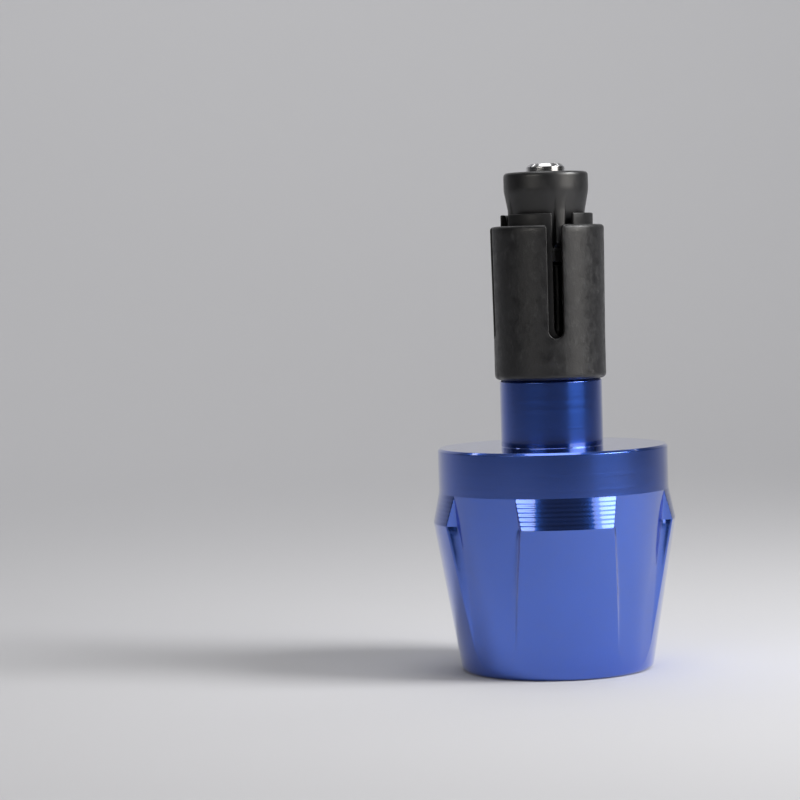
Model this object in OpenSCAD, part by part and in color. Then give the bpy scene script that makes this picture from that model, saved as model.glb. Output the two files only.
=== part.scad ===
// Bar end weight: a fluted weight whose neck carries an expander, and a long
// screw that draws a wedge into the expander to hold it inside a handlebar.
// Millimetres. +Z runs along the screw, from the outer end towards the bar,
// and the outer rim stands on z = 0. Angles are measured from -Y towards +X.

/* [Weight] */
// Length of the weight's body, from the outer rim to the shoulder
body_len = 35; // [32:0.5:42]
// Diameter of the plain band below the shoulder
band_d = 36; // [34:0.5:42]
// Length of the plain band
band_len = 6.9; // [5:0.1:9]
// Length of the flare between the band and the widest place
flare_len = 4.7; // [3:0.1:7]
// How far the lands stand out past the band at the widest place
land_rise = 0.95; // [0.6:0.05:1.5]
// Diameter to which the lands taper at the outer rim
end_d = 30; // [28:0.5:32]
// Rounding of the outer edge
end_round = 0.8; // [0.3:0.1:1.4]
// Chamfer of the shoulder's edge
shoulder_chamfer = 0.35; // [0.2:0.05:0.8]

/* [Flutes] */
// Number of milled flutes round the body
flutes = 4; // [3:1:5]
// Opening of a flute at the widest place, in degrees round the body
flute_angle = 46; // [32:1:50]
// Opening of a flute at its foot, in degrees round the body
flute_foot_angle = 31; // [22:1:40]
// Height of the foot, where the flute runs out of the taper
flute_foot = 4.5; // [4:0.5:8]
// Slope of a flute's walls away from the radius
flute_draft = 42; // [20:1:50]

/* [Dish in the outer end] */
// Diameter of the dish at the rim
dish_d = 22.3; // [20:0.1:24]
// Diameter of the dish at its floor
dish_floor_d = 15.8; // [13:0.1:18]
// Depth of the dish's cone
dish_depth = 3.7; // [3:0.1:5]
// Depth of the seat below the cone
seat_step = 0.6; // [0.3:0.1:1.2]

/* [Neck] */
// Diameter of the neck
neck_d = 16; // [15.4:0.1:17]
// Length of the neck, from the shoulder to the sleeve
neck_len = 10.5; // [6:0.1:20]
// Diameter of the spigot that centres the collet
spigot_d = 8.8; // [8.2:0.1:9.4]
// Length of the spigot
spigot_len = 3; // [2:0.1:4.5]
// Chamfer of the neck's and the spigot's ends
neck_chamfer = 0.35; // [0.2:0.05:0.6]

/* [Sleeve] */
// Outer diameter of the rubber sleeve
sleeve_d = 17.4; // [17:0.1:18.6]
// Length of the sleeve
sleeve_len = 23.9; // [20:0.1:30]
// How far the legs, which spread from the slots' foot, stand out at their free ends
sleeve_spread = 0.2; // [0:0.05:0.4]
// Length of the closed ring below the slots
sleeve_ring = 6.4; // [4:0.1:8]
// Width of the sleeve's slots
sleeve_slot_w = 2.4; // [1.6:0.1:3]
// Rounding of the sleeve's lower edge
sleeve_foot_round = 0.7; // [0.4:0.1:1]
// Rounding of the legs' free ends
sleeve_top_round = 0.25; // [0.1:0.05:0.4]
// Where the sleeve's first slot lies round the neck
sleeve_turn = 1; // [0:1:90]

/* [Collet] */
// Outer diameter of the collet inside the sleeve
collet_d = 14.4; // [14:0.1:15]
// How far the collet stands out past the sleeve
collet_out = 1.8; // [1:0.1:3]
// Number of slots in the collet and in the sleeve
slots = 4; // [3:1:5]
// Width of the collet's slots
collet_slot_w = 3.4; // [2.4:0.1:3.8]
// Where the collet's first slot lies round the neck
collet_turn = 14; // [0:1:90]

/* [Wedge] */
// Diameter of the wedge's head
wedge_d = 13.2; // [12.6:0.1:13.6]
// Length of the wedge
wedge_len = 14; // [12:0.5:16]
// Length of the wedge's straight head
wedge_head_len = 2.8; // [2:0.1:4]
// Taper of the wedge, from its axis
wedge_taper = 10.5; // [8:0.5:12]
// How far the wedge stands out past the collet when slack
wedge_out = 6.5; // [5.5:0.1:8]
// Rounding of the wedge's head
wedge_round = 0.6; // [0.3:0.1:1]
// Travel from slack until the taper is about to bear on the collet
wedge_travel = 2; // [1:0.1:3]
// Width of the keys that run in the collet's slots
key_w = 1.6; // [1.2:0.1:2]
// How deep the keys' outer faces lie inside the collet's outside
key_inset = 1; // [0.8:0.05:1.1]
// How far below the wedge's head the keys begin
key_start = 1.2; // [0.9:0.1:1.5]
// How far the keys' straight outer face reaches above the collet's mouth
key_over = 0.7; // [0.3:0.1:1]
// How far the keys' straight outer face reaches below the collet's mouth
key_under = 4.5; // [4:0.1:5]
// Height of the keys' feet above the wedge's foot
key_lift = 1.5; // [0.5:0.1:3]

/* [Threaded insert] */
// Outer diameter of the insert
insert_d = 8; // [7.6:0.1:8.4]
// Length of the insert
insert_len = 8; // [6:0.5:9]

/* [Screw] */
// Diameter of the screw's thread
screw_d = 6; // [5.6:0.1:6.2]
// How far the screw's tip stands out past the wedge
tip_out = 1.3; // [0.5:0.1:3]
// Chamfer of the screw's tip
tip_chamfer = 0.55; // [0.3:0.05:0.8]
// Diameter of the screw's head
head_d = 10.5; // [9.8:0.1:11]
// Height of the screw's head
head_h = 3.3; // [3:0.1:3.6]
// Height of the straight edge of the head
head_edge = 0.5; // [0.3:0.1:0.8]
// Diameter of the flat on the head
head_flat_d = 7; // [6.6:0.1:7.6]
// Size of the six-lobed socket across its lobes
socket_d = 6.2; // [5.6:0.1:6.4]
// Size of the socket across its hollows
socket_waist = 4.4; // [4:0.1:4.8]
// Diameter of each hollow between two lobes
hollow_d = 2.3; // [1.8:0.1:2.6]
// Depth of the socket
socket_depth = 2.2; // [1.6:0.1:2.4]

/* [Clearances] */
// Radial clearance of the screw in the weight and the wedge
screw_clear = 0.25; // [0.2:0.05:0.4]
// Radial clearance of the screw in the insert's thread
thread_clear = 0.05; // [0.03:0.01:0.08]
// Radial clearance where one still piece fits over another
fit_clear = 0.05; // [0.02:0.01:0.1]
// Radial clearance left between wedge and collet at the end of the travel
wedge_clear = 0.16; // [0.12:0.01:0.3]

/* [Hidden] */
$fn = 96;

// Room by which a cutting shape passes the surface that it cuts
past = 1;

// Radii of the weight and its levels along the axis
band_r = band_d / 2;
peak_r = band_r + land_rise;
end_r = end_d / 2;
neck_r = neck_d / 2;
spigot_r = spigot_d / 2;
bore_r = screw_d / 2 + screw_clear;
peak_z = body_len - band_len - flare_len;
band_z = body_len - band_len;
neck_top = body_len + neck_len;
spigot_top = neck_top + spigot_len;
seat_z = dish_depth + seat_step;

// The lands' taper, and the shallower taper of the flutes' floors
land_slope = (peak_r - end_r) / peak_z;
function land_r(z) = end_r + land_slope * z;
floor_slope = (band_r - land_r(flute_foot)) / (band_z - flute_foot);
function floor_r(z) = band_r - floor_slope * (band_z - z);

// Levels of the expander
sleeve_r = sleeve_d / 2;
sleeve_top = neck_top + sleeve_len;
slot_z = neck_top + sleeve_ring;
collet_r = collet_d / 2;
collet_top = sleeve_top + collet_out;
collet_bore_r = spigot_r + fit_clear;

// The wedge when slack, its taper, and the collet's bore that fits it
wedge_top = collet_top + wedge_out;
wedge_foot = wedge_top - wedge_len;
wedge_r = wedge_d / 2;
taper_z = wedge_top - wedge_head_len;
taper = tan(wedge_taper);
wedge_foot_r = wedge_r - taper * (taper_z - wedge_foot);
collet_mouth_r = wedge_r - taper * (taper_z - collet_top - wedge_travel) + wedge_clear;
collet_cone_z = collet_top - (collet_mouth_r - collet_bore_r) / taper;

// The keys: out from the taper, straight down the slots and in again
key_r = collet_r - key_inset;
key_top = taper_z - key_start;
key_shoulder = collet_top + key_over;
key_bend = collet_top - key_under;
key_foot = wedge_foot + key_lift;
key_root_r = (bore_r + wedge_foot_r) / 2;

insert_r = insert_d / 2;
insert_foot = wedge_top - insert_len;

screw_r = screw_d / 2;
tip_z = wedge_top + tip_out;
head_r = head_d / 2;
head_top = seat_z - head_h;
// The head's dome is part of a ball through the edge and the flat
dome_drop = (pow(head_r, 2) + pow(head_edge, 2) - pow(head_flat_d / 2, 2) - pow(head_h, 2))
    / (2 * (head_h - head_edge));
dome_r = sqrt(pow(head_r, 2) + pow(head_edge + dome_drop, 2));

// Points of an arc about c from angle a0 to a1
function arc(c, r, a0, a1, steps = 6) =
    [for (i = [0:steps]) let (a = a0 + (a1 - a0) * i / steps) c + r * [cos(a), sin(a)]];

// Places copies round the axis, the first one at the angle turn from -Y
module around(count, turn) {
    for (i = [0:count - 1]) rotate(turn - 90 + 360 * i / count) children();
}

// Section of the turned blank, before the flutes are milled
module weight_section() {
    lean = atan(land_slope);
    round_r = end_r + land_slope * end_round - end_round / cos(lean);
    polygon(concat(
        [
            [bore_r, seat_z],
            [dish_floor_d / 2, seat_z],
            [dish_floor_d / 2, dish_depth],
            [dish_d / 2, 0]
        ],
        arc([round_r, end_round], end_round, -90, -lean),
        [
            [peak_r, peak_z],
            [band_r, band_z],
            [band_r, body_len - shoulder_chamfer],
            [band_r - shoulder_chamfer, body_len],
            [neck_r, body_len],
            [neck_r, neck_top - neck_chamfer],
            [neck_r - neck_chamfer, neck_top],
            [spigot_r, neck_top],
            [spigot_r, spigot_top - neck_chamfer],
            [spigot_r - neck_chamfer, spigot_top],
            [bore_r, spigot_top]
        ]
    ));
}

// The land beside a flute: all that lies past one leaning, sloping wall.
// The wall holds the straight line from the flute's foot to the widest place.
module flute_wall() {
    foot_r = land_r(flute_foot);
    foot = [foot_r * cos(flute_foot_angle / 2), foot_r * sin(flute_foot_angle / 2), flute_foot];
    peak = [peak_r * cos(flute_angle / 2), peak_r * sin(flute_angle / 2), peak_z];
    run = peak - foot;
    reach = body_len * 2;
    translate(foot)
        rotate([0, atan2(run.x, run.z), 0])
            rotate([-atan2(run.y, norm([run.x, run.z])), 0, 0])
                rotate(flute_angle / 2 + flute_draft)
                    translate([-reach, 0, -reach])
                        cube(2 * reach);
}

// What the cutter takes out for one flute, which lies towards +X here
module flute_cut() {
    difference() {
        translate([end_r / 2, -band_r, flute_foot / 2])
            cube([band_r, 2 * band_r, body_len - flute_foot]);
        flute_wall();
        mirror([0, 1, 0]) flute_wall();
        cylinder(h = body_len, r1 = floor_r(0), r2 = floor_r(body_len));
    }
}

module weight() {
    color([0.20, 0.27, 0.66])
        difference() {
            rotate_extrude() weight_section();
            around(flutes, 180 / flutes) flute_cut();
        }
}

// A slot with a round closed end, from the level z0 up past the level z1
module slot(width, z0, z1, r) {
    translate([0, -width / 2, z0 + width / 2]) cube([r, width, z1 - z0]);
    translate([0, 0, z0 + width / 2]) rotate([0, 90, 0]) cylinder(h = r, d = width);
}

module sleeve_section() {
    inner_r = collet_r + fit_clear;
    top_r = sleeve_r + sleeve_spread;
    polygon(concat(
        [[inner_r, neck_top]],
        arc([sleeve_r - sleeve_foot_round, neck_top + sleeve_foot_round], sleeve_foot_round, -90, 0),
        [[sleeve_r, slot_z]],
        arc([top_r - sleeve_top_round, sleeve_top - sleeve_top_round], sleeve_top_round, 0, 90, 3),
        [[inner_r, sleeve_top]]
    ));
}

module sleeve() {
    color([0.15, 0.15, 0.155])
        difference() {
            rotate_extrude() sleeve_section();
            around(slots, sleeve_turn) slot(sleeve_slot_w, slot_z, sleeve_top + past, sleeve_r + past);
        }
}

module collet_section() {
    polygon([
        [collet_bore_r, neck_top],
        [collet_r, neck_top],
        [collet_r, collet_top],
        [collet_mouth_r, collet_top],
        [collet_bore_r, collet_cone_z]
    ]);
}

module collet() {
    color([0.09, 0.09, 0.095])
        difference() {
            rotate_extrude() collet_section();
            around(slots, collet_turn) slot(collet_slot_w, slot_z, collet_top + past, collet_r + past);
        }
}

module wedge_section() {
    polygon(concat(
        [
            [bore_r, wedge_foot],
            [wedge_foot_r, wedge_foot],
            [wedge_r, taper_z]
        ],
        arc([wedge_r - wedge_round, wedge_top - wedge_round], wedge_round, 0, 90),
        [
            [insert_r + fit_clear, wedge_top],
            [insert_r + fit_clear, insert_foot],
            [bore_r, insert_foot]
        ]
    ));
}

// One key, standing out from the wedge towards +X
module key() {
    rotate([90, 0, 0])
        translate([0, 0, -key_w / 2])
            linear_extrude(key_w)
                polygon([
                    [key_root_r, key_foot],
                    [key_r, key_bend],
                    [key_r, key_shoulder],
                    [wedge_r - taper * (taper_z - key_top), key_top],
                    [key_root_r, key_top]
                ]);
}

module wedge() {
    color([0.13, 0.13, 0.135])
        difference() {
            union() {
                rotate_extrude() wedge_section();
                around(slots, collet_turn) key();
            }
            translate([0, 0, insert_foot])
                cylinder(h = insert_len + past, r = insert_r + fit_clear);
        }
}

module threaded_insert() {
    color([0.62, 0.62, 0.64])
        translate([0, 0, insert_foot])
            difference() {
                cylinder(h = insert_len, r = insert_r);
                translate([0, 0, -past]) cylinder(h = insert_len + 2 * past, r = screw_r + thread_clear);
            }
}

// Outline of the six-lobed socket: a circle with six round hollows cut into it
module socket_outline() {
    lobes = 6;
    difference() {
        circle(d = socket_d);
        for (i = [0:lobes - 1])
            rotate(360 * (i + 0.5) / lobes)
                translate([(socket_waist + hollow_d) / 2, 0])
                    circle(d = hollow_d);
    }
}

module clamp_screw() {
    color([0.78, 0.78, 0.80])
        difference() {
            union() {
                intersection() {
                    translate([0, 0, head_top]) cylinder(h = head_h, r = head_r);
                    translate([0, 0, seat_z + dome_drop]) sphere(r = dome_r);
                }
                translate([0, 0, seat_z - head_edge])
                    cylinder(h = tip_z - tip_chamfer - seat_z + head_edge, r = screw_r);
                translate([0, 0, tip_z - tip_chamfer])
                    cylinder(h = tip_chamfer, r1 = screw_r, r2 = screw_r - tip_chamfer);
            }
            translate([0, 0, head_top - past])
                linear_extrude(socket_depth + past) socket_outline();
        }
}

weight();
sleeve();
collet();
wedge();
threaded_insert();
clamp_screw();
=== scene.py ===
"""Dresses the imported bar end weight: a fluted weight, its expander and its screw, in a small studio."""

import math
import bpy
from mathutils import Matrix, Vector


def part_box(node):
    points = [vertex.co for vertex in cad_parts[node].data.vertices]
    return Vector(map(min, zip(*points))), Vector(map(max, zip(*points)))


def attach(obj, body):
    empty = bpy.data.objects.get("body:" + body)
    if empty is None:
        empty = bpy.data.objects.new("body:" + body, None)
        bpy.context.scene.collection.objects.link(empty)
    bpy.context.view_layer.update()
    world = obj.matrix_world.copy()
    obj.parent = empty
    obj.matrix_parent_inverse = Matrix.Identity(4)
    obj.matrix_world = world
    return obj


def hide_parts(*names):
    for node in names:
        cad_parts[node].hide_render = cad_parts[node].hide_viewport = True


bl_info = {
    "name": "Bar End Weight",
    "version": (1, 0, 0),
    "blender": (4, 5, 0),
    "location": "View3D > Sidebar > Bar End",
    "description": "Builds a bar end weight with its expander and screw, and a studio to show it in",
    "category": "Add Mesh",
}

import bmesh
import bpy
import numpy as np
from bpy.props import FloatProperty, FloatVectorProperty, IntProperty, PointerProperty
from bpy.types import Operator, Panel, PropertyGroup
from mathutils import Matrix, Vector

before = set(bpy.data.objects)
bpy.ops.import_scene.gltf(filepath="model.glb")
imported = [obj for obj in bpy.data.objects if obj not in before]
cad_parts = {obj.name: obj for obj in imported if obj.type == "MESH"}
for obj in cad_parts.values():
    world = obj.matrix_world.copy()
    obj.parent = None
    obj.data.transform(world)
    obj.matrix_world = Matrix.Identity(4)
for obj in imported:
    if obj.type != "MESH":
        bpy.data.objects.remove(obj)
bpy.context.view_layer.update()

MM = 0.001
FULL_TURN = 2 * math.pi
QUARTER_TURN = math.pi / 2

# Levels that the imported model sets
SPIGOT_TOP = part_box("weight")[1].z
NECK_TOP, SLEEVE_TOP = (corner.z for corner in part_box("sleeve"))
COLLET_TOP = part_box("collet")[1].z
WEDGE_FOOT, WEDGE_TOP = (corner.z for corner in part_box("wedge"))
INSERT_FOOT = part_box("threaded_insert")[0].z
HEAD_TOP, TIP_TOP = (corner.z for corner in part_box("clamp_screw"))


# Kinds of property

def length(name, description, size):
    """A size that is written in millimetres and kept in metres."""
    return FloatProperty(
        name=name, description=description, default=size * MM, min=0.0, precision=5,
        subtype="DISTANCE", unit="LENGTH",
    )


def angle(name, description, degrees):
    return FloatProperty(
        name=name, description=description, default=math.radians(degrees), subtype="ANGLE", unit="ROTATION",
    )


def colour(name, description, value):
    return FloatVectorProperty(
        name=name, description=description, default=value, size=3, min=0.0, max=1.0, subtype="COLOR",
    )


def number(name, description, value, low=0.0):
    return FloatProperty(name=name, description=description, default=value, min=low)


class WeightSizes(PropertyGroup):
    """The turned and milled weight."""

    body_len: length("Body length", "From the outer rim to the shoulder", 35.0)
    band_r: length("Band radius", "Radius of the plain band below the shoulder", 18.0)
    band_len: length("Band length", "Length of the plain band", 6.9)
    flare_len: length("Flare length", "From the band to the widest place", 4.7)
    land_rise: length("Land rise", "How far the lands stand out past the band", 0.95)
    end_r: length("End radius", "Radius to which the lands taper at the outer rim", 15.0)
    end_round: length("End rounding", "Rounding of the outer edge", 0.8)
    chamfer: length("Chamfer", "Chamfer of the shoulder, the neck and the spigot", 0.35)
    dish_r: length("Dish radius", "Radius of the dish at the rim", 11.15)
    dish_floor_r: length("Dish floor radius", "Radius of the dish at its floor", 7.9)
    dish_depth: length("Dish depth", "Depth of the dish's cone", 3.7)
    seat_z: length("Seat depth", "Level on which the screw's head bears", 4.3)
    neck_r: length("Neck radius", "Radius of the neck", 8.0)
    spigot_r: length("Spigot radius", "Radius of the spigot inside the collet", 4.4)
    bore_r: length("Bore radius", "Radius of the hole for the screw", 3.25)
    crease: length("Crease", "Small round that is left on every turned edge", 0.1)
    flutes: IntProperty(name="Flutes", description="Number of milled flutes", default=4, min=3, max=5)
    flute_end: length("Flute end", "Level at which a flute's floor runs out of the taper", 1.2)
    flute_foot: length("Flute foot", "Level at which a flute's walls run out", 4.5)
    flute_angle: angle("Flute angle", "Half of a flute's opening at the widest place", 23.0)
    flute_foot_angle: angle("Flute foot angle", "Half of a flute's opening at its foot", 15.5)
    floor_angle: angle("Floor angle", "Half of the floor's round part at the widest place", 19.5)
    floor_foot_angle: angle("Floor foot angle", "Half of the floor's round part at the foot", 6.2)
    floor_bend: length("Floor bend", "Level from which the round part widens", 10.0)
    mill_round: length("Mill rounding", "Rounding that the end mill leaves under a wall", 1.5)
    scallop_pitch: length("Scallop pitch", "Distance between two steps of the end mill", 1.9)
    scallop_depth: length("Scallop depth", "Height of the ridge between two steps", 0.02)
    ripple_pitch: length("Ripple pitch", "Distance between two turning lines on the flare", 0.67)
    ripple_depth: length("Ripple depth", "Height of a turning line on the flare", 0.0065)


class ExpanderSizes(PropertyGroup):
    """The sleeve, the collet inside it, and the wedge with its insert."""

    slots: IntProperty(
        name="Slots", description="Slots in the sleeve and in the collet", default=4, min=3, max=5,
    )
    slot_foot: length("Slot foot", "Level at which the slots begin", 51.9)
    sleeve_r: length("Sleeve radius", "Outer radius of the sleeve's closed ring", 8.7)
    sleeve_spread: length("Sleeve spread", "How far the legs stand out at their ends", 0.2)
    sleeve_slot: length("Sleeve slot", "Width of the sleeve's slots", 2.4)
    sleeve_turn: angle("Sleeve turn", "Where the sleeve's first slot lies", 1.0)
    sleeve_foot_round: length("Sleeve foot rounding", "Rounding of the sleeve's lower edge", 0.7)
    sleeve_rim: length("Sleeve rim", "Rounding of the legs' upper edges", 0.55)
    sleeve_edge: length("Sleeve edge", "Rounding of the edges along the slots", 0.15)
    collet_r: length("Collet radius", "Outer radius of the collet", 7.2)
    collet_bore_r: length("Collet bore", "Radius of the collet's straight bore", 4.45)
    collet_mouth_r: length("Collet mouth", "Radius of the collet's bore at its mouth", 6.445)
    collet_cone_z: length("Collet cone", "Level at which the collet's bore begins to widen", 60.4)
    collet_slot: length("Collet slot", "Width of the collet's slots", 3.4)
    collet_turn: angle("Collet turn", "Where the collet's first slot lies", 14.0)
    collet_edge: length("Collet edge", "Rounding of the collet's edges", 0.2)
    fit_clear: length("Fit clearance", "Gap where one still piece fits over another", 0.05)
    wedge_r: length("Wedge radius", "Radius of the wedge's head", 6.6)
    wedge_head_len: length("Wedge head length", "Length of the wedge's straight head", 2.8)
    wedge_taper: angle("Wedge taper", "Taper of the wedge, from its axis", 10.5)
    wedge_round: length("Wedge rounding", "Rounding of the wedge's upper edge", 0.6)
    wedge_bend: length("Wedge bend", "Rounding between the wedge's head and its taper", 5.0)
    wedge_bore_r: length("Wedge bore", "Radius of the hole for the screw", 3.25)
    key_r: length("Key radius", "How far out the keys reach", 6.2)
    key_w: length("Key width", "Width of the keys", 1.6)
    key_round: length("Key rounding", "Rounding of the keys' outer edges", 0.3)
    key_root: length("Key root", "Width of the hollow at the keys' roots", 0.4)
    key_flare: length("Key flare", "How much wider the hollow is where the keys begin", 0.9)
    key_start: length("Key start", "How far below the head the keys begin", 1.2)
    key_over: length("Key over", "How far the straight face reaches above the collet", 0.7)
    key_under: length("Key under", "How far the straight face reaches below the collet's mouth", 4.5)
    key_lift: length("Key lift", "Height of the keys' feet above the wedge's foot", 1.5)
    key_foot_r: length("Key foot radius", "Radius of the keys' feet, inside the taper", 3.9)
    insert_r: length("Insert radius", "Outer radius of the threaded insert", 4.0)
    insert_bore_r: length("Insert bore", "Inner radius of the threaded insert", 3.05)


class ScrewSizes(PropertyGroup):
    """The long screw with a domed, six-lobed head."""

    shank_r: length("Shank radius", "Radius of the shank and of the thread's crests", 3.0)
    head_r: length("Head radius", "Radius of the head", 5.25)
    head_h: length("Head height", "Height of the head", 3.3)
    head_edge: length("Head edge", "Height of the straight edge of the head", 0.5)
    head_flat_r: length("Head flat radius", "Radius of the flat on the head", 3.5)
    lobe_r: length("Lobe radius", "Radius of the socket at its lobes", 3.1)
    waist_r: length("Waist radius", "Radius of the socket at its hollows", 2.2)
    hollow_r: length("Hollow radius", "Radius of each hollow between two lobes", 1.15)
    socket_depth: length("Socket depth", "Depth of the socket", 2.2)
    pitch: length("Pitch", "Pitch of the thread", 1.0)
    thread_len: length("Thread length", "Length of the threaded end", 16.0)
    thread_depth: length("Thread depth", "Depth of the thread", 0.6)
    tip_chamfer: length("Tip chamfer", "Chamfer of the tip", 0.5)
    tip_plain: length("Plain tip", "Length of the tip that carries no thread", 1.5)


class Finishes(PropertyGroup):
    """Colours of the materials and of the studio."""

    anodised: colour("Anodised blue", "Dyed oxide on the aluminium", (0.034, 0.12, 0.60))
    rubber: colour("Rubber", "Sleeve", (0.013, 0.013, 0.014))
    collet: colour("Collet plastic", "Collet", (0.010, 0.010, 0.011))
    wedge: colour("Wedge plastic", "Wedge", (0.014, 0.014, 0.015))
    insert: colour("Insert steel", "Threaded insert", (0.56, 0.56, 0.57))
    screw: colour("Stainless steel", "Screw", (0.72, 0.72, 0.73))
    floor: colour("Floor", "Floor and backdrop", (0.66, 0.66, 0.68))
    lamp: colour("Lamp light", "Light of the lamps in front", (1.0, 0.96, 0.90))


class StudioSetup(PropertyGroup):
    """Camera and lamps."""

    camera_angle: angle("Camera angle", "Where the camera stands round the axis, from -Y towards +X", -6.5)
    camera_distance: length("Camera distance", "From the axis to the camera", 414.0)
    camera_height: length("Camera height", "Height of the camera above the floor", 63.2)
    camera_pan: angle("Camera pan", "How far the camera turns to the left of the axis", 3.28)
    camera_pitch: angle("Camera pitch", "How far the camera looks down", 2.83)
    camera_roll: angle("Camera roll", "How far the camera leans to the right", 1.62)
    lens: number("Lens", "Focal length of the camera in millimetres", 118.8)
    key: number("Key lamp", "Power of the lamp with a grid, high at the right", 0.36)
    overhead: number("Overhead lamp", "Power of the lamp straight above", 0.28)
    front_grid: angle("Front grid", "How far the grids on the lamps in front let their light spread", 100)
    left_box: number("Left lamp", "Power of the lamp at the left front", 0.145)
    right_box: number("Right lamp", "Power of the wide lamp at the right", 0.25)
    right_core: number("Right lamp's core", "Power of the brighter middle of the lamp at the right", 0.13)
    backdrop: number("Backdrop lamp", "Power of the lamp that lights the backdrop alone", 3.6)
    ambient: number("Ambient light", "Strength of the world near the horizon", 0.03)
    sky: number("Sky light", "Strength of the world straight above", 0.2)


class BarEndSettings(PropertyGroup):
    """Everything that the panel shows."""

    weight: PointerProperty(type=WeightSizes)
    expander: PointerProperty(type=ExpanderSizes)
    screw: PointerProperty(type=ScrewSizes)
    finishes: PointerProperty(type=Finishes)
    studio: PointerProperty(type=StudioSetup)


# Meshes

def polar(radii, angles, heights):
    """Points from radii, angles and heights, spread over rows and columns. Angles run from -Y towards +X."""
    radii, angles, heights = np.broadcast_arrays(radii, angles, heights)
    return np.stack([radii * np.sin(angles), -radii * np.cos(angles), heights], axis=-1)


def rounded_section(corners, steps=4, hold=0.6):
    """Points of a section whose corners (radius, height, rounding) are rounded.

    A point is held close to each side of every round, so that the faces beside it shade flat.
    """
    points = [np.array(corners[0][:2])]
    for before, corner, after in zip(corners, corners[1:], corners[2:]):
        middle, rounding = np.array(corner[:2]), corner[2]
        if rounding == 0:
            points.append(middle)
            continue
        back = np.array(before[:2]) - middle
        ahead = np.array(after[:2]) - middle
        room = min(np.linalg.norm(back), np.linalg.norm(ahead))
        back /= np.linalg.norm(back)
        ahead /= np.linalg.norm(ahead)
        half = math.acos(float(np.clip(back @ ahead, -1, 1))) / 2
        reach = rounding / math.tan(half)
        centre = middle + (back + ahead) / np.linalg.norm(back + ahead) * rounding / math.sin(half)
        start = middle + back * reach - centre
        end = middle + ahead * reach - centre
        first = math.atan2(start[1], start[0])
        sweep = (math.atan2(end[1], end[0]) - first + math.pi) % FULL_TURN - math.pi
        held = min(rounding * hold, room * 0.2)
        points.append(middle + back * (reach + held))
        for turn in first + sweep * np.linspace(0, 1, steps + 1):
            points.append(centre + rounding * np.array([math.cos(turn), math.sin(turn)]))
        points.append(middle + ahead * (reach + held))
    points.append(np.array(corners[-1][:2]))
    return np.array(points)


def with_longest_step(section, step):
    """The same section, with every stretch longer than step(height) cut into equal parts."""
    points = [section[0]]
    for start, end in zip(section, section[1:]):
        parts = max(1, math.ceil(np.linalg.norm(end - start) / step((start[1] + end[1]) / 2)))
        points.extend(start + (end - start) * part / parts for part in range(1, parts + 1))
    return np.array(points)


def mirrored_row(starts, angles, radii, height):
    """A closed row of points: half of a flute or key, mirrored and repeated at each start."""
    one_turn = np.concatenate([-angles[::-1], angles[1:-1]])
    one_reach = np.concatenate([radii[::-1], radii[1:-1]])
    row_angles = np.concatenate([start + one_turn for start in starts])
    row_radii = np.tile(one_reach, len(starts))
    row_angles = np.append(row_angles, row_angles[0] + FULL_TURN)
    return polar(np.append(row_radii, row_radii[0]), row_angles, height)


def grid_lengths(grid):
    """Distances in millimetres along the rows and along the columns of a grid, which make its map."""
    across = np.linalg.norm(np.diff(grid, axis=1), axis=2).max(axis=0)
    along = np.linalg.norm(np.diff(grid, axis=0), axis=2).max(axis=1)
    return np.append(0, np.cumsum(across)) / MM, np.append(0, np.cumsum(along)) / MM


def make_piece(name, grids, caps=()):
    """One smooth mesh from grids of points and flat caps. Points that meet are joined."""
    points, faces, places = [], [], []
    count = 0
    for grid in grids:
        rows, columns = grid.shape[:2]
        index = np.arange(rows * columns).reshape(rows, columns) + count
        quads = np.stack([index[:-1, :-1], index[:-1, 1:], index[1:, 1:], index[1:, :-1]], axis=-1)
        faces.extend(quads.reshape(-1, 4).tolist())
        points.append(grid.reshape(-1, 3))
        across, along = grid_lengths(grid)
        places.append(np.stack(np.meshgrid(across, along), axis=-1).reshape(-1, 2))
        count += rows * columns
    for cap in caps:
        faces.append(list(range(count, count + len(cap))))
        points.append(cap)
        places.append(cap[:, :2] / MM)
        count += len(cap)
    mesh = bpy.data.meshes.new(name)
    mesh.from_pydata(np.concatenate(points).tolist(), [], faces)
    corners = np.zeros(len(mesh.loops), dtype=np.int32)
    mesh.loops.foreach_get("vertex_index", corners)
    layer = mesh.uv_layers.new(name="Lathe")
    layer.data.foreach_set("uv", np.concatenate(places)[corners].astype(np.float32).ravel())
    work = bmesh.new()
    work.from_mesh(mesh)
    touching = 0.0002 * MM
    bmesh.ops.remove_doubles(work, verts=work.verts, dist=touching)
    bmesh.ops.dissolve_degenerate(work, edges=work.edges, dist=touching)
    bmesh.ops.recalc_face_normals(work, faces=work.faces)
    for face in work.faces:
        face.smooth = True
    work.to_mesh(mesh)
    work.free()
    piece = bpy.data.objects.new(name, mesh)
    bpy.context.scene.collection.objects.link(piece)
    return piece


def dress(piece, node, body, material):
    """Gives a piece its finish and the place of its CAD node."""
    piece.data.materials.append(material)
    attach(piece, body)
    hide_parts(node)


# Materials

def new_finish(name, base, metallic, roughness):
    """A material with its main shader, and the position on the piece in millimetres."""
    material = bpy.data.materials.new(name)
    material.use_nodes = True
    nodes, links = material.node_tree.nodes, material.node_tree.links
    shader = nodes["Principled BSDF"]
    shader.inputs["Base Color"].default_value = (*base, 1)
    shader.inputs["Metallic"].default_value = metallic
    shader.inputs["Roughness"].default_value = roughness
    place = nodes.new("ShaderNodeTexCoord")
    scaled = nodes.new("ShaderNodeVectorMath")
    scaled.operation = "SCALE"
    scaled.inputs["Scale"].default_value = 1 / MM
    links.new(place.outputs["Object"], scaled.inputs[0])
    return material, nodes, links, shader, scaled.outputs["Vector"]


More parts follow.
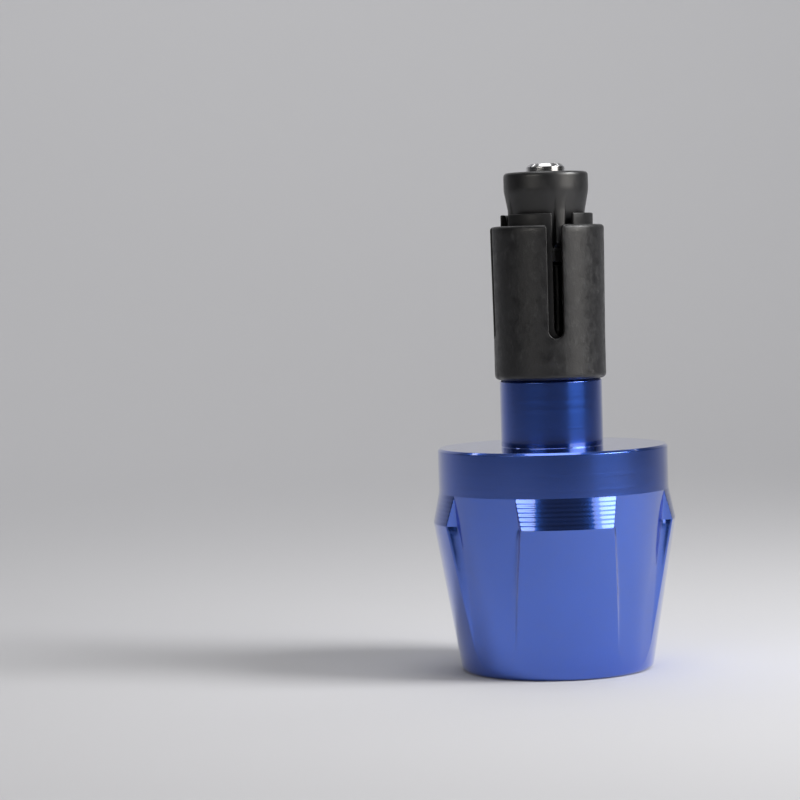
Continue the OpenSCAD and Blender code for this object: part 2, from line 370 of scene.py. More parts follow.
def noise(nodes, links, place, scale, detail=3.0, rough=0.5, dimensions="3D"):
    """Noise whose scale is in waves per millimetre."""
    texture = nodes.new("ShaderNodeTexNoise")
    texture.noise_dimensions = dimensions
    texture.inputs["Scale"].default_value = scale
    texture.inputs["Detail"].default_value = detail
    texture.inputs["Roughness"].default_value = rough
    links.new(place, texture.inputs["W" if dimensions == "1D" else "Vector"])
    return texture.outputs["Fac"]


def remap(nodes, links, value, low, high, to_low, to_high):
    """Spreads a value from one range to another."""
    spread = nodes.new("ShaderNodeMapRange")
    for socket, setting in zip(("From Min", "From Max", "To Min", "To Max"), (low, high, to_low, to_high)):
        spread.inputs[socket].default_value = setting
    links.new(value, spread.inputs["Value"])
    return spread.outputs["Result"]


def blend_colours(nodes, links, factor, first, second):
    """Mixes two colours by a factor."""
    mix = nodes.new("ShaderNodeMix")
    mix.data_type = "RGBA"
    mix.inputs["A"].default_value = (*first, 1)
    mix.inputs["B"].default_value = (*second, 1)
    links.new(factor, mix.inputs["Factor"])
    return mix.outputs["Result"]


def add_bump(nodes, links, height, depth, under=None):
    """A bump of the given depth in metres, on top of another one if there is one."""
    bump = nodes.new("ShaderNodeBump")
    bump.inputs["Distance"].default_value = depth
    links.new(height, bump.inputs["Height"])
    if under is not None:
        links.new(under, bump.inputs["Normal"])
    return bump.outputs["Normal"]


def lathe_length(nodes, links):
    """Distance along the turned section in millimetres, from the map of the mesh."""
    place = nodes.new("ShaderNodeUVMap")
    place.uv_map = "Lathe"
    split = nodes.new("ShaderNodeSeparateXYZ")
    links.new(place.outputs["UV"], split.inputs["Vector"])
    return split.outputs["Y"]


def anodised_aluminium(base):
    """Blue dyed oxide over turned aluminium: a soft metal shine under a sharp clear one."""
    name = "anodised_aluminium"
    material, nodes, links, shader, place = new_finish(name, base, metallic=1.0, roughness=0.3)
    shader.inputs["Coat Weight"].default_value = 1.0
    shader.inputs["Coat Roughness"].default_value = 0.06
    shader.inputs["Coat IOR"].default_value = 1.8
    lightest, darkest = 1.08, 0.94
    cloud = noise(nodes, links, place, scale=0.12)
    lighter = tuple(min(1.0, lightest * part) for part in base)
    darker = tuple(darkest * part for part in base)
    links.new(blend_colours(nodes, links, cloud, darker, lighter), shader.inputs["Base Color"])
    lines = noise(nodes, links, lathe_length(nodes, links), scale=1.4, detail=2.0, dimensions="1D")
    roughness = remap(nodes, links, lines, low=0.3, high=0.7, to_low=0.18, to_high=0.23)
    links.new(roughness, shader.inputs["Roughness"])
    links.new(add_bump(nodes, links, lines, depth=0.0006 * MM), shader.inputs["Normal"])
    return material


def moulded_rubber(base):
    """Black rubber with a fine grain and pale scuffs from being pushed into a bar."""
    material, nodes, links, shader, place = new_finish("moulded_rubber", base, metallic=0.0, roughness=0.42)
    shader.inputs["Specular IOR Level"].default_value = 0.65
    along_bar, paler = 0.55, 0.04
    drawn = nodes.new("ShaderNodeVectorMath")
    drawn.operation = "MULTIPLY"
    drawn.inputs[1].default_value = (1.0, 1.0, along_bar)
    links.new(place, drawn.inputs[0])
    scuffs = noise(nodes, links, drawn.outputs["Vector"], scale=0.9, detail=6.0, rough=0.7)
    worn = remap(nodes, links, scuffs, low=0.55, high=0.8, to_low=0.0, to_high=1.0)
    pale = tuple(part + paler for part in base)
    links.new(blend_colours(nodes, links, worn, base, pale), shader.inputs["Base Color"])
    patches = noise(nodes, links, place, scale=0.6, detail=5.0, rough=0.6)
    roughness = remap(nodes, links, patches, low=0.35, high=0.65, to_low=0.28, to_high=0.50)
    links.new(roughness, shader.inputs["Roughness"])
    grain = noise(nodes, links, place, scale=6.0, detail=4.0)
    rough_skin = add_bump(nodes, links, grain, depth=0.012 * MM)
    links.new(add_bump(nodes, links, scuffs, depth=0.05 * MM, under=rough_skin), shader.inputs["Normal"])
    return material


def moulded_plastic(name, base, roughness, shine):
    """Black plastic with the fine grain of its mould."""
    material, nodes, links, shader, place = new_finish(name, base, metallic=0.0, roughness=roughness)
    shader.inputs["Specular IOR Level"].default_value = shine
    smoothest, roughest = roughness - 0.06, roughness + 0.08
    patches = noise(nodes, links, place, scale=0.6, detail=4.0)
    spread = remap(nodes, links, patches, low=0.3, high=0.7, to_low=smoothest, to_high=roughest)
    links.new(spread, shader.inputs["Roughness"])
    grain = noise(nodes, links, place, scale=7.0, detail=4.0)
    links.new(add_bump(nodes, links, grain, depth=0.01 * MM), shader.inputs["Normal"])
    return material


def polished_steel(name, base, roughness):
    """Steel with fine turning lines."""
    material, nodes, links, shader, place = new_finish(name, base, metallic=1.0, roughness=roughness)
    darkest, smoothest, roughest = 0.9, roughness - 0.05, roughness + 0.07
    cloud = noise(nodes, links, place, scale=0.8)
    darker = tuple(darkest * part for part in base)
    links.new(blend_colours(nodes, links, cloud, darker, base), shader.inputs["Base Color"])
    lines = noise(nodes, links, lathe_length(nodes, links), scale=5.0, detail=3.0, dimensions="1D")
    spread = remap(nodes, links, lines, low=0.3, high=0.7, to_low=smoothest, to_high=roughest)
    links.new(spread, shader.inputs["Roughness"])
    links.new(add_bump(nodes, links, lines, depth=0.002 * MM), shader.inputs["Normal"])
    return material


# The weight

def weight_section(size):
    """The turned section, closed through the bore, with close rows where the flutes and turning lines are."""
    peak_z = size.body_len - size.band_len - size.flare_len
    band_z = size.body_len - size.band_len
    peak_r = size.band_r + size.land_rise
    crease, chamfer = size.crease, size.chamfer
    corners = [
        (size.bore_r, SPIGOT_TOP / 2, 0),
        (size.bore_r, size.seat_z, crease),
        (size.dish_floor_r, size.seat_z, crease),
        (size.dish_floor_r, size.dish_depth, crease),
        (size.dish_r, 0, crease),
        (size.end_r, 0, size.end_round),
        (peak_r, peak_z, crease),
        (size.band_r, band_z, crease),
        (size.band_r, size.body_len - chamfer, crease),
        (size.band_r - chamfer, size.body_len, crease),
        (size.neck_r, size.body_len, crease),
        (size.neck_r, NECK_TOP - chamfer, crease),
        (size.neck_r - chamfer, NECK_TOP, crease),
        (size.spigot_r, NECK_TOP, crease),
        (size.spigot_r, SPIGOT_TOP - chamfer, crease),
        (size.spigot_r - chamfer, SPIGOT_TOP, crease),
        (size.bore_r, SPIGOT_TOP, crease),
        (size.bore_r, SPIGOT_TOP / 2, 0),
    ]

    rows_a_wave, fade_slope = 8, 8

    def step(height):
        on_flare = peak_z <= height <= band_z
        return (size.ripple_pitch if on_flare else size.scallop_pitch) / rows_a_wave

    outside = with_longest_step(rounded_section(corners), step)
    ripple = (outside[:, 0] > size.band_r) & (outside[:, 1] > peak_z) & (outside[:, 1] < band_z)
    along = (outside[:, 1] - peak_z) / (band_z - peak_z)
    waves = np.sin(FULL_TURN * (outside[:, 1] - peak_z) / size.ripple_pitch)
    fade = np.clip(fade_slope * along * (1 - along), 0, 1)
    outside[:, 0] += np.where(ripple, size.ripple_depth * waves * fade, 0)
    return outside


def half_flute(size, radius, height):
    """Angles from the middle of a flute to the middle of the next land, and the radius at each.

    The end mill leaves a floor that is round in the middle and flat beside it, and a rounding under the wall.
    The wall's upper edge is dulled, as far as the wall is high enough for it.
    """
    floor_columns, wall_columns, land_columns = 8, 10, 13
    least_opening = math.radians(0.4)
    least_foot, most_of_flat = 0.03 * MM, 0.95
    least_bend, most_bend = 0.05, 0.96
    widening_power = 1.5
    full_wall = 0.3 * MM
    edge_steps = np.array([0.05, 0.13, 0.25]) * MM
    edge_drops = np.array([0.035, 0.01, 0.0, 0.0]) * MM
    ticks_end = 1.4 * size.floor_bend

    peak_z = size.body_len - size.band_len - size.flare_len
    band_z = size.body_len - size.band_len
    level = min(max(height, size.flute_end), band_z)
    land_slope = (size.band_r + size.land_rise - size.end_r) / peak_z
    end_floor = size.end_r + land_slope * size.flute_end
    milled = radius > size.end_r and size.flute_end < height < band_z
    floor = np.interp(level, (size.flute_end, band_z), (end_floor, size.band_r)) if milled else radius
    floor = min(floor, radius)

    widening = max((min(level, peak_z) - size.floor_bend) / (peak_z - size.floor_bend), 0) ** widening_power
    floor_edge = size.floor_foot_angle + (size.floor_angle - size.floor_foot_angle) * widening
    opening = np.interp(
        level, (size.flute_foot, peak_z, band_z), (size.flute_foot_angle, size.flute_angle, size.floor_angle),
    )
    opening = max(min(opening, floor_edge + math.acos(floor / radius)), floor_edge + least_opening)
    wall = max(radius - floor / math.cos(opening - floor_edge), 0)
    rounded = min(wall, size.mill_round)
    foot_width = math.sqrt(2 * size.mill_round * rounded - rounded ** 2)
    foot_width = min(max(foot_width, least_foot), most_of_flat * (opening - floor_edge) * radius)
    wall_foot = opening - foot_width / radius

    floor_angles = np.linspace(0, floor_edge, floor_columns)
    flat_angles = np.linspace(floor_edge, wall_foot, floor_columns)[1:]
    bend = min(max(foot_width / size.mill_round, least_bend), most_bend)
    steps = np.linspace(0, 1, wall_columns)[1:]
    rise = (1 - np.sqrt(1 - (bend * steps) ** 2)) / (1 - math.sqrt(1 - bend ** 2))
    wall_angles = wall_foot + (opening - wall_foot) * steps
    wall_radii = np.minimum(floor / np.cos(wall_angles - floor_edge), radius) + wall * rise
    cut = min(wall / full_wall, 1)
    low = np.interp(level, (size.flute_foot, size.floor_bend, ticks_end), (1, 1, 0))
    ridge = size.scallop_depth * cut * low * abs(math.sin(math.pi * level / size.scallop_pitch))
    wall_angles -= ridge / radius * steps
    wall_radii[-1] = radius - edge_drops[0] * cut
    edge_angles = opening + edge_steps / size.band_r
    edge_radii = radius - edge_drops[1:] * cut
    land_angles = np.linspace(edge_angles[-1], math.pi / size.flutes, land_columns)[1:]
    angles = np.concatenate([floor_angles, flat_angles, wall_angles, edge_angles, land_angles])
    radii = np.concatenate([
        np.full(len(floor_angles), floor), np.minimum(floor / np.cos(flat_angles - floor_edge), radius),
        wall_radii, edge_radii, np.full(len(land_angles), radius),
    ])
    return angles, radii


def weight_grid(size):
    """Rows along the section, with columns that follow the flutes' edges all round."""
    sector = FULL_TURN / size.flutes
    starts = (np.arange(size.flutes) + 0.5) * sector
    rows = []
    for radius, height in weight_section(size):
        angles, radii = half_flute(size, radius, height)
        rows.append(mirrored_row(starts, angles, radii, height))
    return np.array(rows)


class BARENDWEIGHT_OT_weight(Operator):
    """Build the anodised weight with its flutes, dish and neck"""

    bl_idname = "bar_end_weight.weight"
    bl_label = "Weight"

    def execute(self, context):
        settings = context.scene.bar_end_weight
        piece = make_piece("fluted_weight", [weight_grid(settings.weight)])
        dress(piece, "weight", "weight", anodised_aluminium(settings.finishes.anodised))
        return {"FINISHED"}


# The slotted sleeve and collet

def slotted_tube(outer, inner, top, slot, edges, slots, turn):
    """Grids and caps of a tube whose upper part is slotted into legs.

    outer and inner give the radii at a level, slot is (foot, width), and edges is the rounding of the foot,
    of the rim and of the slots.
    """
    columns, leg_rows, arch_rows, corner_rows, wall_rows = 22, 22, 9, 4, 4
    ring_step = 1.2 * MM
    slot_foot, slot_width = slot
    foot_round, rim, edge = edges
    cap_inset = 1.3 * rim
    least_corner = 0.05
    half = slot_width / 2
    slot_middle = slot_foot + half
    sector = FULL_TURN / slots
    ring_top = slot_foot - edge
    ring = rounded_section([
        (inner(ring_top), ring_top, 0),
        (inner(NECK_TOP), NECK_TOP, edge),
        (outer(NECK_TOP), NECK_TOP, foot_round),
        (outer(ring_top), ring_top, 0),
    ])
    ring = with_longest_step(ring, lambda height: ring_step)
    around = turn + np.linspace(0, FULL_TURN, slots * columns + 1)
    grids = [polar(ring[:, :1], around, ring[:, 1:])]

    turns = np.linspace(0, QUARTER_TURN, corner_rows)
    flat = np.zeros(wall_rows - 2)
    set_back = np.concatenate([edge * (1 - np.sin(turns)), flat, edge * (1 - np.sin(turns[::-1]))])
    sunk = edge * (1 - np.cos(turns))

    def round_the_leg(values):
        """Values down a slot's wall, spread over the outer face, both walls and the inner face."""
        outside, inside = np.full(columns + 1, values[0]), np.full(columns + 1, values[-1])
        return np.concatenate([outside, values[1:-1], inside, values[::-1][1:]])

    def leg_loop(swing, level, inset):
        """One loop round a leg: its outer face, the next slot's wall, its inner face and this slot's wall.

        The corners' rounding shrinks as the loop is set in at the rim, so that the loop never crosses itself.
        """
        share = max(1 - inset / edge, least_corner)
        levels = level - (half + share * set_back) * math.cos(swing)
        sides = (half + share * set_back + inset) * math.sin(swing)
        outside = outer(levels) - inset
        inside = inner(levels) + inset
        down = np.linspace(0, 1, wall_rows)[1:-1]
        first, last = outside[corner_rows - 1] - share * edge, inside[-corner_rows] + share * edge
        radii = np.concatenate([
            outside[:corner_rows] - share * sunk,
            first + (last - first) * down,
            inside[-corner_rows:] + share * sunk[::-1],
        ])
        wall = np.arcsin(sides / radii)
        outer_face = np.linspace(wall[0], sector - wall[0], columns + 1)
        inner_face = np.linspace(sector - wall[-1], wall[-1], columns + 1)
        angles = np.concatenate([outer_face, (sector - wall)[1:-1], inner_face, wall[::-1][1:]])
        return round_the_leg(radii), angles, round_the_leg(levels)

    straight = np.linspace(slot_middle, top - rim, leg_rows)[1:]
    stations = [(swing, slot_middle, 0.0) for swing in np.linspace(0, QUARTER_TURN, arch_rows)]
    stations += [(QUARTER_TURN, level, 0.0) for level in straight]
    for rise in turns[1:]:
        stations.append((QUARTER_TURN, top - rim * (1 - math.sin(rise)), rim * (1 - math.cos(rise))))
    stations.append((QUARTER_TURN, top, cap_inset))
    loops = [leg_loop(*station) for station in stations]
    caps = []
    for leg in range(slots):
        start = turn + leg * sector
        grid = np.array([polar(radii, start + angles, heights) for radii, angles, heights in loops])
        grids.append(grid)
        caps.append(grid[-1][:-1])
    return grids, caps


class BARENDWEIGHT_OT_sleeve(Operator):
    """Build the slotted rubber sleeve"""

    bl_idname = "bar_end_weight.sleeve"
    bl_label = "Sleeve"

    def execute(self, context):
        settings = context.scene.bar_end_weight
        size = settings.expander

        def outer(level):
            up = np.clip((level - size.slot_foot) / (SLEEVE_TOP - size.slot_foot), 0, 1)
            return size.sleeve_r + size.sleeve_spread * up

        def inner(level):
            return size.collet_r + size.fit_clear + 0 * level

        grids, caps = slotted_tube(
            outer, inner, SLEEVE_TOP, (size.slot_foot, size.sleeve_slot),
            (size.sleeve_foot_round, size.sleeve_rim, size.sleeve_edge), size.slots, size.sleeve_turn,
        )
        piece = make_piece("slotted_sleeve", grids, caps)
        dress(piece, "sleeve", "weight", moulded_rubber(settings.finishes.rubber))
        return {"FINISHED"}


class BARENDWEIGHT_OT_collet(Operator):
    """Build the slotted plastic collet inside the sleeve"""

    bl_idname = "bar_end_weight.collet"
    bl_label = "Collet"

    def execute(self, context):
        settings = context.scene.bar_end_weight
        size = settings.expander

        def outer(level):
            return size.collet_r + 0 * level

        def inner(level):
            levels = (size.collet_cone_z, COLLET_TOP)
            return np.interp(level, levels, (size.collet_bore_r, size.collet_mouth_r))

        grids, caps = slotted_tube(
            outer, inner, COLLET_TOP, (size.slot_foot, size.collet_slot),
            (size.collet_edge, size.collet_edge, size.collet_edge), size.slots, size.collet_turn,
        )
        piece = make_piece("slotted_collet", grids, caps)
        dress(piece, "collet", "weight",
              moulded_plastic("matt_plastic", settings.finishes.collet, roughness=0.45, shine=0.5))
        return {"FINISHED"}


# The wedge and its insert

def key_flank(size, flare):
    """Half a key across its width: where its columns lie, and their share of the key's height."""
    face_columns, corner_columns = 4, 5
    wall_width, edge_drop, root_height = 0.04 * MM, 0.25, 0.4
    half = size.key_w / 2
    turns = np.linspace(0, QUARTER_TURN, corner_columns)
    face = np.linspace(0, half - size.key_round, face_columns)[:-1]
    edge_places = half - size.key_round * (1 - np.sin(turns))
    edge_shares = 1 - edge_drop * (1 - np.cos(turns))
    root_places = half + wall_width + (size.key_root + size.key_flare * flare) * (1 - np.cos(turns))
    root_shares = root_height * (1 - np.sin(turns))
    places = np.concatenate([face, edge_places, root_places])
    shares = np.concatenate([np.ones(len(face)), edge_shares, root_shares])
    return places, shares


def wedge_grid(size):
    """Rows along the wedge's section, with columns that follow the keys' walls."""
    taper_z = WEDGE_TOP - size.wedge_head_len
    slope = math.tan(size.wedge_taper)
    foot_r = size.wedge_r - slope * (taper_z - WEDGE_FOOT)
    hole_r = size.insert_r + size.fit_clear
    crease, row_step, plain_columns = 0.15 * MM, 0.3 * MM, 13
    middle = (WEDGE_FOOT + INSERT_FOOT) / 2
    section = rounded_section([
        (size.wedge_bore_r, middle, 0),
        (size.wedge_bore_r, INSERT_FOOT, crease),
        (hole_r, INSERT_FOOT, crease),
        (hole_r, WEDGE_TOP, crease),
        (size.wedge_r, WEDGE_TOP, size.wedge_round),
        (size.wedge_r, taper_z, size.wedge_bend),
        (foot_r, WEDGE_FOOT, crease),
        (size.wedge_bore_r, WEDGE_FOOT, crease),
        (size.wedge_bore_r, middle, 0),
    ])
    section = with_longest_step(section, lambda height: row_step)
    sector = FULL_TURN / size.slots
    starts = size.collet_turn + np.arange(size.slots) * sector
    key_foot, key_top = WEDGE_FOOT + size.key_lift, taper_z - size.key_start
    key_levels = (key_foot, COLLET_TOP - size.key_under, COLLET_TOP + size.key_over, key_top)
    key_reach = (size.key_foot_r, size.key_r, size.key_r, size.wedge_r - slope * size.key_start)
    rows = []
    for radius, height in section:
        lift = 0.0
        if radius > hole_r and key_foot < height < key_top:
            lift = max(np.interp(height, key_levels, key_reach) - radius, 0)
        places, shares = key_flank(size, float(np.interp(height, (COLLET_TOP, key_top), (0, 1))))
        middles = np.sqrt(radius ** 2 - places ** 2) + lift * shares
        flank_angles = np.arctan2(places, middles)
        flank_radii = np.hypot(places, middles)
        rest = np.linspace(flank_angles[-1], sector / 2, plain_columns)[1:]
        angles = np.concatenate([flank_angles, rest])
        radii = np.concatenate([flank_radii, np.full(len(rest), radius)])
        rows.append(mirrored_row(starts, angles, radii, height))
    return np.array(rows)


class BARENDWEIGHT_OT_wedge(Operator):
    """Build the plastic wedge with its keys"""

    bl_idname = "bar_end_weight.wedge"
    bl_label = "Wedge"

    def execute(self, context):
        settings = context.scene.bar_end_weight
        piece = make_piece("keyed_wedge", [wedge_grid(settings.expander)])
        dress(piece, "wedge", "wedge",
              moulded_plastic("satin_plastic", settings.finishes.wedge, roughness=0.36, shine=0.75))
        return {"FINISHED"}


class BARENDWEIGHT_OT_insert(Operator):
    """Build the threaded steel insert of the wedge"""

    bl_idname = "bar_end_weight.insert"
    bl_label = "Threaded insert"

    def execute(self, context):
        settings = context.scene.bar_end_weight
        size = settings.expander
        chamfer = 0.3 * MM
        crease = 0.08 * MM
        row_step = 1.0 * MM
        columns = 96
        middle = (INSERT_FOOT + WEDGE_TOP) / 2
        section = rounded_section([
            (size.insert_bore_r, middle, 0),
            (size.insert_bore_r, INSERT_FOOT, crease),
            (size.insert_r - chamfer, INSERT_FOOT, crease),
            (size.insert_r, INSERT_FOOT + chamfer, crease),
            (size.insert_r, WEDGE_TOP - chamfer, crease),
            (size.insert_r - chamfer, WEDGE_TOP, crease),
            (size.insert_bore_r, WEDGE_TOP, crease),
            (size.insert_bore_r, middle, 0),
        ])
        section = with_longest_step(section, lambda height: row_step)
        angles = np.linspace(0, FULL_TURN, columns + 1)
        piece = make_piece("threaded_bush", [polar(section[:, :1], angles, section[:, 1:])])
        dress(piece, "threaded_insert", "wedge",
              polished_steel("turned_steel", settings.finishes.insert, roughness=0.32))
        return {"FINISHED"}


# The screw

def socket_radius(size, angles):
    """Radius of the six-lobed socket: a circle into which six round hollows bulge."""
    lobes = 6
    sector = FULL_TURN / lobes
    from_hollow = (angles % sector) - sector / 2
    middle = size.waist_r + size.hollow_r
    inside = np.clip(size.hollow_r ** 2 - (middle * np.sin(from_hollow)) ** 2, 0, None)
    bulge = middle * np.cos(from_hollow) - np.sqrt(inside)
    return np.minimum(size.lobe_r, np.where(inside > 0, bulge, size.lobe_r))


def screw_head_grid(size, angles):
    """Rows from the middle of the socket's floor round the head to the shank."""
    seat_z = HEAD_TOP + size.head_h
    drop = size.head_r ** 2 + size.head_edge ** 2 - size.head_flat_r ** 2 - size.head_h ** 2
    drop /= 2 * (size.head_h - size.head_edge)
    ball_r = math.hypot(size.head_r, size.head_edge + drop)
    socket = socket_radius(size, angles)
    floor_z = HEAD_TOP + size.socket_depth
    mouth, floor_dish, wall_foot = 0.12 * MM, 0.5 * MM, 0.08 * MM
    floor_shares, flat_shares = (0, 0.35, 0.7, 0.93, 1), (0.15, 0.5, 0.85)
    mouth_steps = ((0.5, 0.35), (1.0, 0.1))
    wall_rows, dome_rows = 6, 14
    rows = [polar(socket * share, angles, floor_z + floor_dish * (1 - share) ** 2) for share in floor_shares]
    for level in np.linspace(floor_z - wall_foot, HEAD_TOP + mouth, wall_rows):
        rows.append(polar(socket, angles, level))
    for outward, inward in mouth_steps:
        rows.append(polar(socket + outward * mouth, angles, HEAD_TOP + inward * mouth))
    edge = size.head_flat_r
    for share in flat_shares:
        rows.append(polar(socket + mouth + (edge - socket - mouth) * share, angles, HEAD_TOP))
    flat_angle = math.asin(edge / ball_r)
    edge_angle = math.asin(size.head_r / ball_r)
    for turn in np.linspace(flat_angle, edge_angle, dome_rows):
        rows.append(polar(ball_r * math.sin(turn), angles, seat_z + drop - ball_r * math.cos(turn)))
    edge_gap, seat_round, shank_round, shank_start = 0.05 * MM, 0.12 * MM, 0.2 * MM, 4 * MM
    under = rounded_section([
        (size.head_r, seat_z - size.head_edge + edge_gap, 0),
        (size.head_r, seat_z, seat_round),
        (size.shank_r, seat_z, shank_round),
        (size.shank_r, seat_z + shank_start, 0),
    ])
    rows.extend(polar(radius, angles, level) for radius, level in under)
    return np.array(rows)


def screw_thread_grid(size, angles, start):
    """Rows that climb with the thread, held at its two ends."""
    rows_a_turn = 12
    crest, flank, run_in_turns = 1 / 8, 5 / 16, 1.5
    turns = (TIP_TOP - start) / size.pitch
    steps = np.arange(-rows_a_turn, math.ceil(turns * rows_a_turn) + 1)
    phase = (steps % rows_a_turn) / rows_a_turn
    cut = np.interp(phase, (0, crest, crest + flank, 1 - flank, 1), (0, 0, 1, 1, 0))
    levels = start + size.pitch * (steps[:, None] / rows_a_turn + angles[None, :] / FULL_TURN)
    levels = np.clip(levels, start, TIP_TOP)
    run_in = (levels - start) / (run_in_turns * size.pitch)
    run_out = (TIP_TOP - size.tip_plain - levels) / size.pitch
    fade = np.clip(np.minimum(run_in, run_out), 0, 1)
    radii = size.shank_r - size.thread_depth * cut[:, None] * fade
    radii = np.minimum(radii, size.shank_r - size.tip_chamfer + (TIP_TOP - levels))
    return polar(radii, angles[None, :], levels)


class BARENDWEIGHT_OT_screw(Operator):
    """Build the clamping screw with its thread and socket"""

    bl_idname = "bar_end_weight.screw"
    bl_label = "Screw"

    def execute(self, context):
        settings = context.scene.bar_end_weight
        size = settings.screw
        columns, shank_rows, tip_shares = 120, 16, (1, 0.92, 0.5, 0)
        angles = np.linspace(0, FULL_TURN, columns + 1)
        head = screw_head_grid(size, angles)
        start = TIP_TOP - size.thread_len
        shank_levels = np.linspace(head[-1, 0, 2], start, shank_rows)
        shank = np.array([polar(size.shank_r, angles, level) for level in shank_levels])
        thread = screw_thread_grid(size, angles, start)
        tip_r = size.shank_r - size.tip_chamfer
        tip = np.array([polar(tip_r * share, angles, TIP_TOP) for share in tip_shares])
        piece = make_piece("domed_screw", [head, shank, thread, tip])
        dress(piece, "clamp_screw", "screw",
              polished_steel("stainless_steel", settings.finishes.screw, roughness=0.16))
        return {"FINISHED"}


# The studio

def stage_material(name, base):
    material = bpy.data.materials.new(name)
    material.use_nodes = True
    shader = material.node_tree.nodes["Principled BSDF"]
    shader.inputs["Base Color"].default_value = (*base, 1)
    shader.inputs["Roughness"].default_value = 0.9
    shader.inputs["Specular IOR Level"].default_value = 0.1
    return material


def add_floor(base):
    """A pale floor that curves up into a backdrop behind the object."""
    front, back, height, bend, half, bend_rows = -1.6, 0.9, 1.5, 0.5, 2.0, 17
    turns = np.linspace(0, QUARTER_TURN, bend_rows)
    profile = [(front, 0.0)]
    profile += [(back - bend + bend * math.sin(turn), bend * (1 - math.cos(turn))) for turn in turns]
    profile += [(back, height)]
    grid = np.array([[(side, y, z) for side in (-half, half)] for y, z in profile])
    floor = make_piece("studio_floor", [grid])
    floor.data.materials.append(stage_material("pale_floor", base))


def add_lamp(name, place, target, size, power, tint=(1, 1, 1), spread=math.pi):
    """A rectangular lamp that points from its place at its target. A small spread acts as a grid on it."""
    data = bpy.data.lights.new(name, "AREA")
    data.shape = "RECTANGLE"
    data.size, data.size_y = size
    data.energy = power
    data.color = tint
    data.spread = spread
    lamp = bpy.data.objects.new(name, data)
    lamp.location = place
    lamp.rotation_euler = (Vector(target) - Vector(place)).to_track_quat("-Z", "Y").to_euler()
    bpy.context.scene.collection.objects.link(lamp)


def add_sky(setup):
    """A world that is dim near the horizon and brighter above."""
    world = bpy.data.worlds.new("studio_air")
    world.use_nodes = True
    nodes, links = world.node_tree.nodes, world.node_tree.links
    direction = nodes.new("ShaderNodeTexCoord")
    split = nodes.new("ShaderNodeSeparateXYZ")
    links.new(direction.outputs["Generated"], split.inputs["Vector"])
    strength = remap(
        nodes, links, split.outputs["Z"], low=0.1, high=1.0, to_low=setup.ambient, to_high=setup.sky,
    )
    links.new(strength, nodes["Background"].inputs["Strength"])
    nodes["Background"].inputs["Color"].default_value = (1, 1, 1, 1)
    bpy.context.scene.world = world


def round_the_axis(degrees, distance, height):
    """A place round the object, in degrees from the camera's own side towards the right."""
    turn = math.radians(degrees) + bpy.context.scene.bar_end_weight.studio.camera_angle
    return (distance * math.sin(turn), -distance * math.cos(turn), height)


def add_camera(setup):
    """The camera, turned to the left of the axis, looking down a little and leaning."""
    data = bpy.data.cameras.new("Camera")
    data.lens = setup.lens
    data.sensor_width = 36
    camera = bpy.data.objects.new("Camera", data)
    bpy.context.scene.collection.objects.link(camera)
    place = Vector(round_the_axis(0, setup.camera_distance, setup.camera_height))
    heading = Matrix.Rotation(setup.camera_angle + setup.camera_pan, 4, "Z")
    tilt = Matrix.Rotation(QUARTER_TURN - setup.camera_pitch, 4, "X")
    roll = Matrix.Rotation(-setup.camera_roll, 4, "Z")
    camera.matrix_world = Matrix.Translation(place) @ heading @ tilt @ roll
    data.clip_start, data.clip_end = 0.01, 20
    bpy.context.scene.camera = camera


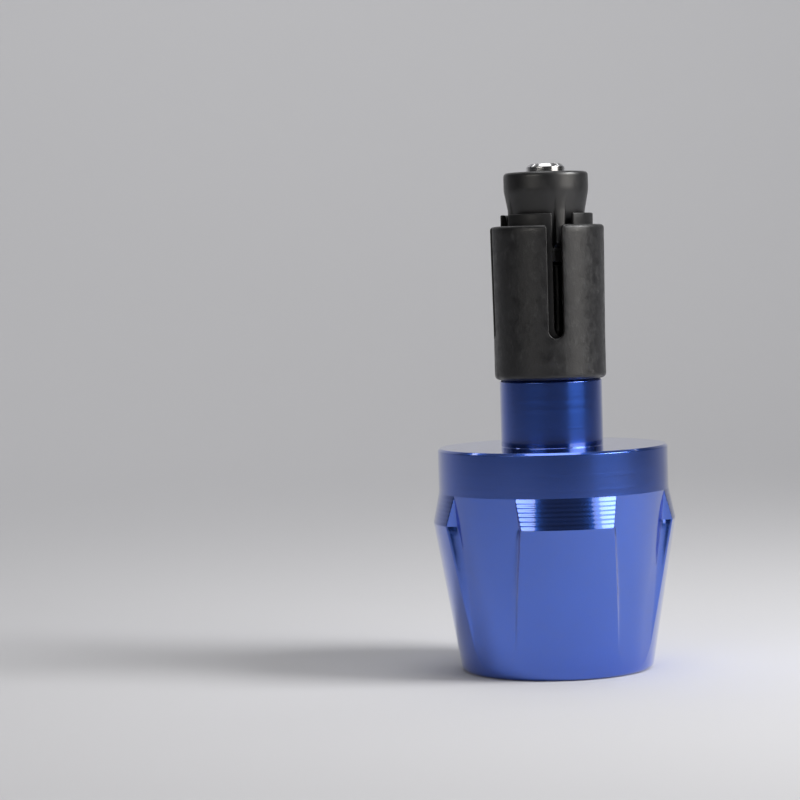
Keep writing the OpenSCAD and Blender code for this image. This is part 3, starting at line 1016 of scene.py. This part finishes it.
class BARENDWEIGHT_OT_studio(Operator):
    """Build the floor, the lamps and the camera"""

    bl_idname = "bar_end_weight.studio"
    bl_label = "Studio"

    def execute(self, context):
        settings = context.scene.bar_end_weight
        setup = settings.studio
        add_floor(settings.finishes.floor)
        add_camera(setup)
        stand, flare = (0, 0, 0), (0, 0, 0.026)
        above, behind, backdrop_foot = (0, 0, 0.40), (0, 0.45, 0.75), (0, 0.95, 0.2)
        key_place = round_the_axis(degrees=75, distance=0.31, height=0.28)
        key_size, overhead_size, backdrop_size = (0.15, 0.15), (0.2, 0.2), (1.2, 0.3)
        add_lamp("key", key_place, stand, key_size, setup.key, spread=QUARTER_TURN)
        add_lamp("overhead", above, stand, overhead_size, setup.overhead)
        left = round_the_axis(degrees=-36, distance=0.6, height=0.215)
        right = round_the_axis(degrees=59, distance=0.6, height=0.18)
        core = round_the_axis(degrees=61, distance=0.59, height=0.215)
        left_size, right_size, core_size = (0.38, 0.11), (0.45, 0.30), (0.32, 0.12)
        tint, grid = settings.finishes.lamp, setup.front_grid
        add_lamp("left_front", left, flare, left_size, setup.left_box, tint, grid)
        add_lamp("right_front", right, flare, right_size, setup.right_box, tint, grid)
        add_lamp("right_core", core, flare, core_size, setup.right_core, tint, grid)
        add_lamp("backdrop_light", behind, backdrop_foot, backdrop_size, setup.backdrop)
        add_sky(setup)
        context.scene.view_settings.view_transform = "Standard"
        return {"FINISHED"}


class BARENDWEIGHT_PT_panel(Panel):
    """Lists what the script builds"""

    bl_idname = "BARENDWEIGHT_PT_panel"
    bl_label = "Bar End Weight"
    bl_space_type = "VIEW_3D"
    bl_region_type = "UI"
    bl_category = "Bar End"

    def draw(self, context):
        settings = context.scene.bar_end_weight
        for group in ("weight", "expander", "screw", "finishes", "studio"):
            sizes = getattr(settings, group)
            box = self.layout.box()
            box.label(text=group.title())
            for name in sizes.__annotations__:
                box.prop(sizes, name)
        for operator in OPERATORS:
            self.layout.operator(operator.bl_idname)


GROUPS = (WeightSizes, ExpanderSizes, ScrewSizes, Finishes, StudioSetup, BarEndSettings)
OPERATORS = (
    BARENDWEIGHT_OT_weight,
    BARENDWEIGHT_OT_sleeve,
    BARENDWEIGHT_OT_collet,
    BARENDWEIGHT_OT_wedge,
    BARENDWEIGHT_OT_insert,
    BARENDWEIGHT_OT_screw,
    BARENDWEIGHT_OT_studio,
)


def register():
    for item in (*GROUPS, *OPERATORS, BARENDWEIGHT_PT_panel):
        bpy.utils.register_class(item)
    bpy.types.Scene.bar_end_weight = PointerProperty(type=BarEndSettings)


def unregister():
    del bpy.types.Scene.bar_end_weight
    for item in reversed((*GROUPS, *OPERATORS, BARENDWEIGHT_PT_panel)):
        bpy.utils.unregister_class(item)


def main():
    """Builds the pieces and the studio."""
    register()
    bpy.ops.bar_end_weight.weight()
    bpy.ops.bar_end_weight.sleeve()
    bpy.ops.bar_end_weight.collet()
    bpy.ops.bar_end_weight.wedge()
    bpy.ops.bar_end_weight.insert()
    bpy.ops.bar_end_weight.screw()
    bpy.ops.bar_end_weight.studio()


if __name__ == "__main__":
    main()
